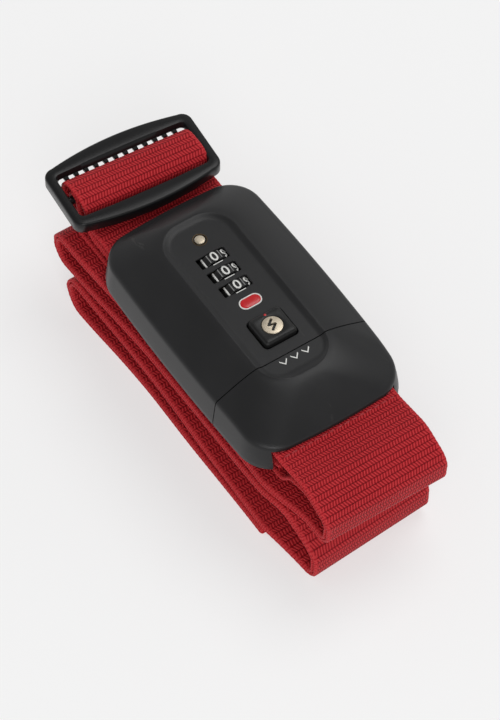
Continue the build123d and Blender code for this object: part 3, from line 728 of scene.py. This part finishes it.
def flat_strip(name, x_range, y_range, z):
    """A thin printed line with bevelled edges."""
    height = 0.06

    def loop(inset):
        return [(x_range[0] + inset, y_range[0] + inset), (x_range[0] + inset, y_range[1] - inset),
                (x_range[1] - inset, y_range[1] - inset), (x_range[1] - inset, y_range[0] + inset)]

    return prism(name, [(loop(0), z - 0.2), (loop(0), z + height * 0.5), (loop(0.03), z + height)])


# ------------------------------------------------------------------ pin, badge, button and key


def build_pin():
    """The reset pin's domed head, and the bronze rim of its hole."""
    head = [(1.0, 56.0), (1.9, 56.0), (1.9, 58.55), (1.85, 58.8), (1.6, 58.93), (0.9, 58.98), (0.05, 59.0)]
    pin = lathe("reset_pin_head", head, (PIN_X, 0), 48)
    finish_piece(pin, "reset_pin", CREAM_METAL)
    ring = [(2.38, 58.0), (2.38, 58.72), (2.44, 58.8), (2.56, 58.82), (2.68, 58.76), (2.72, 58.6),
            (2.72, 58.0)]
    rim = ring_lathe("pin_rim", ring, (PIN_X, 0), 48)
    finish_piece(rim, "lock_body", RIM_METAL)


def capsule_loop(inset):
    """The badge's outline: a capsule, long across the buckle."""
    half_x = BADGE_WIDTH / 2
    corner = half_x - 0.01
    x_range = (BADGE_X - half_x, BADGE_X + half_x)
    return rounded_loop(x_range, BADGE_LENGTH / 2, (corner, corner), inset, counts=(4, 12, 8))


def build_badge():
    """A plain red enamel capsule in a white rim; profile rows are (inset, height)."""
    rim = [(0.0, 58.55), (0.0, 58.85), (0.12, 59.0), (0.32, 59.02), (0.45, 58.9), (0.45, 58.7)]
    base = prism("badge_rim", [(capsule_loop(i), z) for i, z in rim])
    finish_piece(base, "lock_body", WHITE_PRINT)
    dome = [(0.46, 58.6), (0.46, 58.86), (0.65, 58.98), (1.1, 59.06), (1.7, 59.1)]
    enamel = prism("badge_enamel", [(capsule_loop(i), z) for i, z in dome])
    finish_piece(enamel, "lock_body", RED_ENAMEL, ("badge_inlay",))


def circle_loop(center_x, radius, template):
    """As many points on a circle as the template has, each in the template point's direction."""
    result = []
    for x, y in template:
        a = math.atan2(y, x - center_x)
        result.append((center_x + radius * math.cos(a), radius * math.sin(a)))
    return result


def build_button():
    """The square button with a round well for the key plug, and a small red dot."""
    half_x, half_y = BUTTON_SIZE[0] / 2, BUTTON_SIZE[1] / 2
    x_range = (BUTTON_X - half_x, BUTTON_X + half_x)

    def outline(inset):
        return rounded_loop(x_range, half_y, (1.5, 1.5), inset, counts=(12, 8, 12))

    base = outline(0)
    rings = [(base, 56.6), (base, 59.5), (outline(0.12), 59.95), (outline(0.42), 60.38),
             (outline(0.8), 60.6), (outline(1.2), BUTTON_TOP_Z)]
    for radius, z in ((4.15, BUTTON_TOP_Z), (4.02, 60.64), (3.95, 60.5), (3.93, 57.0)):
        rings.append((circle_loop(BUTTON_X, radius, base), z))
    count = len(base)
    points = [(x, y, z) for loop, z in rings for x, y in loop]
    faces = [tuple(reversed(f)) for f in ring_faces(len(rings), count, closed_rings=True)]
    button = make_mesh("button_cap", points, faces, 50)
    finish_piece(button, "release_button", BUTTON_PLASTIC, ("release_button",))
    dot_profile = [(0.45, 60.6), (0.45, 60.74), (0.32, 60.79), (0.05, 60.8)]
    dot = lathe("button_dot", dot_profile, (BUTTON_X - 5.0, 0.2), 24)
    finish_piece(dot, "release_button", RED_ENAMEL)


def keyway_cutters():
    """The zigzag slot that the key's wards pass through, as three overlapping bars."""
    corners = [(-2.3, 1.0), (-0.5, -1.25), (0.0, 1.2), (1.9, -1.05)]
    half_widths = (0.5, 0.42, 0.5)
    reach = 0.25
    cutters = []
    for i, ((u0, v0), (u1, v1), half) in enumerate(zip(corners, corners[1:], half_widths)):
        length = math.hypot(u1 - u0, v1 - v0)
        along = ((u1 - u0) / length, (v1 - v0) / length)
        bar = []
        for end, side in ((0, 1), (1, 1), (1, -1), (0, -1)):
            u = mix(u0 - along[0] * reach, u1 + along[0] * reach, end) - side * half * along[1]
            v = mix(v0 - along[1] * reach, v1 + along[1] * reach, end) + side * half * along[0]
            bar.append((BUTTON_X + u, v))
        cutters.append(prism(f"cut_keyway_{i}", [(bar, 59.6), (bar, 62.0)]))
    return cutters


def build_key():
    """The key plug's face with its keyway cut through, over a black disc that is painted shade for the depth
    of the keyway.
    """
    disc = [(3.6, 57.5), (3.8, 57.5), (3.8, 60.5), (3.72, 60.68), (3.5, 60.77), (0.1, 60.8)]
    plug = lathe("key_plug_face", disc, (BUTTON_X, 0), 72)
    cut(plug, keyway_cutters())
    shade(plug, 30)
    finish_piece(plug, "key_plug", CREAM_METAL, ("key_plug",))
    # A black disc just under the face shows through the keyway: painted shade where the deep slot would be
    # dark.
    floor = lathe("keyway_floor", [(3.4, 59.2), (3.4, 59.75), (0.1, 59.76)], (BUTTON_X, 0), 40)
    finish_piece(floor, "key_plug", KEYWAY_SHADE)


def build_tongue_marks():
    """Three plain chevrons on the tongue's scoop, which point along the strap."""
    back = 27.6
    tip = 29.4
    wing = 1.5
    thick = 0.62
    for i, y in enumerate((-4.6, 0.0, 4.6)):
        outline = [(back, y - wing), (back + thick, y - wing), (tip + thick, y), (back + thick, y + wing),
                   (back, y + wing), (tip, y)]
        mark = prism(f"tongue_chevron_{i + 1}", [(outline, PANEL_Z - 0.3), (outline, PANEL_Z + 0.05)])
        finish_piece(mark, "tongue", WHITE_PRINT)


# ------------------------------------------------------------------ slider


def slider_place(u, v):
    """From the slider's own plan to the frame."""
    c, s = math.cos(SLIDER_YAW), math.sin(SLIDER_YAW)
    return (SLIDER_X + u * c - v * s, SLIDER_Y + u * s + v * c)


def slider_loop(half_sizes, corner, bow):
    """One of the slider's outlines, with its long sides bowed."""
    half_x, half_y = half_sizes
    loop = rounded_loop((-half_y, half_y), half_x, (corner, corner), side_bow=bow, counts=(40, 10, 16))
    return [(y, x) for x, y in loop]


def build_slider():
    """The frame, its centre bar and its teeth; profile rows are (outline to hole, height)."""
    outer = slider_loop(SLIDER_OUTER, 4.0, SLIDER_BOW)
    inner = slider_loop(SLIDER_INNER, 1.6, 0.0)
    low, high = SLIDER_Z
    profile = ((0.0, low + 0.5), (0.0, high - 0.9), (0.02, high - 0.45), (0.06, high - 0.14), (0.12, high),
               (0.78, high), (0.83, high - 0.10), (0.97, high - 1.5), (1.0, high - 1.9), (0.98, high - 2.4),
               (0.64, low + 0.2), (0.56, low), (0.08, low))
    points = []
    for t, z in profile:
        for (u0, v0), (u1, v1) in zip(outer, inner):
            x, y = slider_place(mix(u0, u1, t), mix(v0, v1, t))
            points.append((x, y, z))
    slider = make_mesh("slider_body", points, ring_faces(len(profile), len(outer), closed_rings=True), 40)
    finish_piece(slider, "slider", SATIN, ("slider_frame",))
    ends = [slider_place(0.0, SLIDER_BAR_HALF), slider_place(0.0, -SLIDER_BAR_HALF)]
    bar = rod("slider_bar", ends, SLIDER_BAR_Z, SLIDER_BAR_RADIUS)
    finish_piece(bar, "slider", SATIN)
    for i in range(TEETH):
        v = (i - (TEETH - 1) / 2) * TOOTH_PITCH
        finish_piece(tooth(f"slider_tooth_{i + 1}", v), "slider", SATIN)


def rod(name, ends, z, radius, steps=24, rows=12):
    """A round bar between two plan points."""
    (x0, y0), (x1, y1) = ends
    direction = Vector((x1 - x0, y1 - y0, 0)).normalized()
    side = Vector((-direction.y, direction.x, 0))
    points = []
    for k in range(rows + 1):
        t = k / rows
        for out, up in circle(radius, steps):
            points.append((mix(x0, x1, t) + side.x * out, mix(y0, y1, t) + side.y * out, z + up))
    return make_mesh(name, points, capped_faces(rows + 1, steps))


def tooth(name, v):
    """A small bevelled tooth that grips the webbing, at v along the rail."""
    root = -10.2
    edge = -8.3
    high = SLIDER_Z[1]

    def loop(inset):
        corners = ((root, v - 1.0 + inset), (root, v + 1.0 - inset), (edge - inset, v + 0.8 - inset),
                   (edge - inset, v - 0.8 + inset))
        return [slider_place(a, b) for a, b in corners]

    rows = [(0.15, high - 3.2), (0, high - 3.0), (0, high - 2.2), (0.25, high - 1.9)]
    return prism(name, [(loop(inset), z) for inset, z in rows])


# ------------------------------------------------------------------ webbing


def shifted(path, distance):
    """The corners of a line beside a path, on its left if distance is positive."""
    result = []
    for i, (x, z, radius) in enumerate(path):
        angles = []
        if i > 0:
            angles.append(math.atan2(z - path[i - 1][1], x - path[i - 1][0]))
        if i < len(path) - 1:
            angles.append(math.atan2(path[i + 1][1] - z, path[i + 1][0] - x))
        turn = math.remainder(angles[-1] - angles[0], 2 * math.pi)
        middle = angles[0] + turn / 2
        reach = distance / math.cos(turn / 2)
        place = (x - reach * math.sin(middle), z + reach * math.cos(middle))
        result.append((*place, radius - distance * math.copysign(1, turn) if radius else 0))
    return result


def rounded_line(path, step=0.25):
    """Points along a path of straight runs and tangent arcs."""
    points = [Vector(path[0][:2])]
    for (x0, z0, _), (x1, z1, radius), (x2, z2, _) in zip(path, path[1:], path[2:]):
        corner = Vector((x1, z1))
        back = (Vector((x0, z0)) - corner).normalized()
        ahead = (Vector((x2, z2)) - corner).normalized()
        turn = math.pi - back.angle(ahead)
        reach = radius * math.tan(turn / 2)
        center = corner + (back + ahead).normalized() * radius / math.cos(turn / 2)
        start = corner + back * reach - center
        sign = math.copysign(1, (-back).cross(ahead))
        count = max(2, int(radius * turn / step))
        for i in range(count + 1):
            a = sign * turn * i / count
            c, s = math.cos(a), math.sin(a)
            points.append(center + Vector((start.x * c - start.y * s, start.x * s + start.y * c)))
    points.append(Vector(path[-1][:2]))
    return points


def resampled(points, step):
    """The same line with evenly spaced points."""
    lengths = [0.0]
    for a, b in zip(points, points[1:]):
        lengths.append(lengths[-1] + (b - a).length)
    count = int(lengths[-1] / step)
    result = []
    k = 0
    for i in range(count + 1):
        goal = lengths[-1] * i / count
        while k < len(lengths) - 2 and lengths[k + 1] < goal:
            k += 1
        span = max(lengths[k + 1] - lengths[k], 1e-9)
        result.append(points[k].lerp(points[k + 1], min(1.0, (goal - lengths[k]) / span)))
    return result, lengths[-1]


def sag(x, z):
    """Gentle waves that the stacked layers share."""
    free = smoothstep(38, 34, z)
    return free * 0.45 * noise.noise(Vector((x / 26, 3.1, 0.4)))


def side_drift(x, z):
    """How far the folded stack has slipped sideways under the buckle."""
    free = smoothstep(37.5, 35.5, z) * smoothstep(76, 50, x)
    far = smoothstep(-15, -75, x)
    wander = 0.5 * noise.noise(Vector((x / 40, z / 4, 7.7))) * smoothstep(44, 38, z)
    return -(4.5 + 2.1 * far) * free + wander


EDGE_PLACES = (18, 22.5, 23.7, 24.4, 24.85, STRAP_HALF_WIDTH)
CROSS = [-place for place in reversed(EDGE_PLACES)] + [-12, -6, 0, 6, 12] + list(EDGE_PLACES)


def half_thickness(across, row):
    """The ribs swell in each row, and the edges are rounded."""
    edge = STRAP_HALF_WIDTH - abs(across)
    base = STRAP_THICKNESS / 2 - 0.13
    if edge < 0.7:
        base *= math.sqrt(max(0.12, 1 - (1 - edge / 0.7) ** 2))
    rib = RIB_HEIGHT * abs(math.sin(math.pi * row)) ** 0.7
    return base + rib * min(1.0, edge / 0.5 + 0.2)


def slider_skew(place, across):
    """The webbing turns with the slider where it goes round the slider's bar."""
    near = smoothstep(43, 51, place.y) * smoothstep(-56, -62, place.x)
    return -across * math.sin(SLIDER_YAW) * near


def tip_skew(place, across):
    """How far out and up folds are drawn: the lowest fold at the tongue's end, more on its near side,
    and the far folds evenly."""
    near = smoothstep(56, 74, place.x) * smoothstep(20, 14, place.y)
    side = (1 - across / STRAP_HALF_WIDTH) / 2
    far_stretch = -1.3 * smoothstep(-50, -74, place.x) * smoothstep(36.5, 35.5, place.y)
    return near * (1.0 + 2.2 * side) + far_stretch, -2.0 * near * side


def ribbon_rings(path, step=0.5):
    """Cross-sections of a ribbed strap along a side-view path, their weave coordinates, and its length."""
    line, length = resampled(rounded_line(path), step)
    rings = []
    weave = []
    for i, place in enumerate(line):
        before = line[max(0, i - 1)]
        after = line[min(len(line) - 1, i + 1)]
        along = (after - before).normalized()
        normal = Vector((-along.y, along.x))
        row = i * length / (len(line) - 1) / RIB_PITCH
        slip = side_drift(place.x, place.y)
        scallop = 0.10 * abs(math.sin(math.pi * row))
        ring = []
        for side in (1, -1):
            for across in (CROSS if side == 1 else reversed(CROSS)):
                point = place + normal * side * half_thickness(across, row)
                bulge = scallop * math.copysign(1, across) if abs(across) > 24 else 0
                out, up = tip_skew(place, across)
                x = point.x + slider_skew(place, across) + out
                ring.append((x, across + slip + bulge, point.y + sag(place.x, place.y) + up))
                weave.append((row, (across + STRAP_HALF_WIDTH) / DASH_PITCH))
        rings.append(ring)
    return rings, weave, length


def ribbon(name, paths):
    """One or more ribbed straps as one object, and their whole length in metres."""
    points = []
    faces = []
    weave = []
    total = 0.0
    for path in paths:
        rings, ring_weave, length = ribbon_rings(path)
        faces += renumbered(capped_faces(len(rings), len(rings[0])), len(points))
        points += [p for ring in rings for p in ring]
        weave += ring_weave
        total += length
    obj = make_mesh(name, points, faces, 60)
    layer = obj.data.uv_layers.new(name="weave")
    loop_vertices = [0] * len(obj.data.loops)
    obj.data.loops.foreach_get("vertex_index", loop_vertices)
    layer.data.foreach_set("uv", [c for v in loop_vertices for c in weave[v]])
    return obj, total * MM


def strap_route():
    """The folded stack's side view: from the tongue's end, down one ply to the last fold, and back."""
    last_fold_x = 51.95
    doubled = [
        (TIP_X - PLY_OFFSET, 32.0, 0), (-77.75, 34.6, 6.2), (-77.75, 21.4, 6.2), (60.75, 27.6, 14.0),
        (74.4, 16.0, 12.0), (74.2, 3.6, 3.6), (-69.85, 16.6, 6.2), (-69.85, 1.5, 6.5), (last_fold_x, 1.5, 0),
    ]
    upper = shifted(doubled, PLY_OFFSET)
    lower = shifted(doubled, -PLY_OFFSET)
    fold = PLY_OFFSET - 0.01
    path = [(TIP_X, LEG_END_Z, 0), (TIP_X, upper[0][1], 5.2)]
    path += upper[1:-1]
    path += [(last_fold_x, upper[-1][1], fold), (last_fold_x, lower[-1][1], fold)]
    path += lower[-2:0:-1]
    path += [(INNER_TIP_X, lower[0][1], 3.2), (INNER_TIP_X, INNER_END_Z, 0)]
    return path


def upper_route():
    """The run under the buckle, round the slider, the far strap bar and the slider's centre bar."""
    return [
        (50.0, 37.1, 0), (-81.7, 37.1, 4.0), (-81.7, 56.2, 6.2), (-65.7, 56.2, 6.2), (-65.7, 45.9, 3.5),
        (-43.95, 45.9, 2.25), (-43.95, 41.3, 2.25), (-63.5, 41.3, 6.0), (-76.4, 48.4, 2.3),
        (-76.4, 54.0, 2.3), (-71.6, 54.0, 2.3), (-71.6, 47.3, 3.0), (-63.5, 42.9, 3.0), (-51.25, 42.9, 0),
    ]


# Side views of the two strands at the tongue: (x, z, corner radius).
LEG_ROUTE = [
    (56.2, 44.2, 0), (52.5, 43.1, 6.0), (45.95, 43.1, 2.25), (45.95, 47.7, 2.25), (57.25, 47.7, 20.0),
    (72.5, 50.0, 12.0), (TIP_X, 44.6, 5.8), (TIP_X, LEG_END_Z + 0.06, 0),
]
INNER_ROUTE = [
    (18.0, 38.65, 0), (57.6, 38.65, 5.0), (62.5, 45.0, 5.0), (72.3, 48.3, 10.0), (INNER_TIP_X, 43.5, 4.2),
    (INNER_TIP_X, INNER_END_Z + 0.06, 0),
]


def stitch_points(x, y):
    """One stitch as rings of points along the strap's width, higher in the middle and thin at its ends."""
    half_length = 1.15
    last = STITCH_RINGS - 1
    points = []
    for k in range(STITCH_RINGS):
        lift = 0.30 * math.sin(math.pi * k / last) - 0.12
        radius = 0.26 if 0 < k < last else 0.12
        place = y + half_length * (2 * k / last - 1)
        points += [(x + u, place, STITCH_Z + lift + v) for u, v in circle(radius, STITCH_STEPS)]
    return points


def build_tongue_stitches():
    """Two rows of stitches across the strap, where it is sewn at the tongue's bar."""
    points = []
    faces = []
    for x in STITCH_ROWS:
        for i in range(STITCHES):
            faces += renumbered(capped_faces(STITCH_RINGS, STITCH_STEPS), len(points))
            points += stitch_points(x, (i - (STITCHES - 1) / 2) * STITCH_PITCH)
    stitches = make_mesh("tongue_stitches", points, faces)
    finish_piece(stitches, "tongue", THREAD, ("tongue_end_stitching",))


def build_webbing():
    """The long strap on the lock, and the leg that joins the lock's side to the tongue."""
    build_tongue_stitches()
    strap, length = ribbon("strap_webbing", [strap_route(), upper_route()])
    finish_piece(strap, "lock_body", WEBBING, ("webbing_strap",))
    leg, leg_length = ribbon("tongue_leg_webbing", [LEG_ROUTE, INNER_ROUTE])
    leg.data.materials.clear()
    leg.data.materials.append(WEBBING)
    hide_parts("webbing_tongue_leg")
    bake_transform(leg)
    print(f"strap flat length {length:.3f} m, tongue leg {leg_length:.3f} m")


# ------------------------------------------------------------------ camera, light and floor


def build_camera():
    """A long lens from above the tongue's end, aimed at the middle of the buckle."""
    azimuth, elevation = math.radians(CAMERA_AZIMUTH), math.radians(CAMERA_ELEVATION)
    level = math.cos(elevation)
    back = Vector((math.sin(azimuth) * level, -math.cos(azimuth) * level, math.sin(elevation)))
    right = Vector((math.cos(azimuth), math.sin(azimuth), 0))
    up = back.cross(right)
    aim = Vector((0.010, 0, 0.040)) - right * 0.00528 - up * 0.00334
    camera = bpy.data.objects.new("camera", bpy.data.cameras.new("camera"))
    bpy.context.scene.collection.objects.link(camera)
    camera.location = aim + back * CAMERA_DISTANCE
    camera.rotation_euler = back.to_track_quat("Z", "Y").to_euler()
    camera.data.lens = CAMERA_LENS
    camera.data.clip_start = 0.05
    bpy.context.scene.camera = camera


def add_light(name, location, size, power):
    """A round area light that faces the origin."""
    light = bpy.data.lights.new(name, "AREA")
    light.shape = "DISK"
    light.size = size
    light.energy = power
    obj = bpy.data.objects.new(name, light)
    bpy.context.scene.collection.objects.link(obj)
    obj.location = location
    obj.rotation_euler = Vector(location).to_track_quat("Z", "Y").to_euler()


def build_floor():
    """A wide pale floor that glows a little, so the shadows stay soft."""
    size = 3000
    corners = [(-size, -size, 0), (size, -size, 0), (size, size, 0), (-size, size, 0)]
    floor = make_mesh("floor", corners, [(0, 1, 2, 3)], closed=False)
    s = Shader("studio_floor", (0.40, 0.40, 0.40), 0.9)
    s.set("Specular IOR Level", 0.0)
    s.set("Emission Color", (1, 1, 1, 1))
    s.set("Emission Strength", 0.56)
    s.link(s.grey_ramp(s.noise(3.0, 2.0), (0.3, 0.395), (0.7, 0.405)), "Base Color")
    floor.data.materials.append(s.material)


def build_world():
    """A pale sky that darkens overhead."""
    world = bpy.data.worlds.new("studio")
    world.use_nodes = True
    tree = world.node_tree
    background = tree.nodes["Background"]
    direction = tree.nodes.new("ShaderNodeTexCoord")
    split = tree.nodes.new("ShaderNodeSeparateXYZ")
    shade_by_height = tree.nodes.new("ShaderNodeValToRGB")
    tree.links.new(direction.outputs["Generated"], split.inputs[0])
    tree.links.new(split.outputs["Z"], shade_by_height.inputs["Fac"])
    tree.links.new(shade_by_height.outputs["Color"], background.inputs["Color"])
    for element, (height, grey) in zip(shade_by_height.color_ramp.elements, ((0.25, 0.95), (0.85, 0.30))):
        element.position = height
        element.color = (grey, grey, grey, 1)
    background.inputs["Strength"].default_value = 0.85
    bpy.context.scene.world = world


def build_studio():
    build_floor()
    build_world()
    bpy.context.scene.view_settings.view_transform = "Standard"
    add_light("key", (-0.15, 0.55, 1.3), 0.9, 6)
    add_light("front", (0.9, -0.5, 1.0), 0.7, 5)


build_camera()
build_studio()
dress_cad_nodes()
build_case()
build_dials()
build_pin()
build_badge()
build_button()
build_key()
build_tongue_marks()
build_slider()
build_webbing()
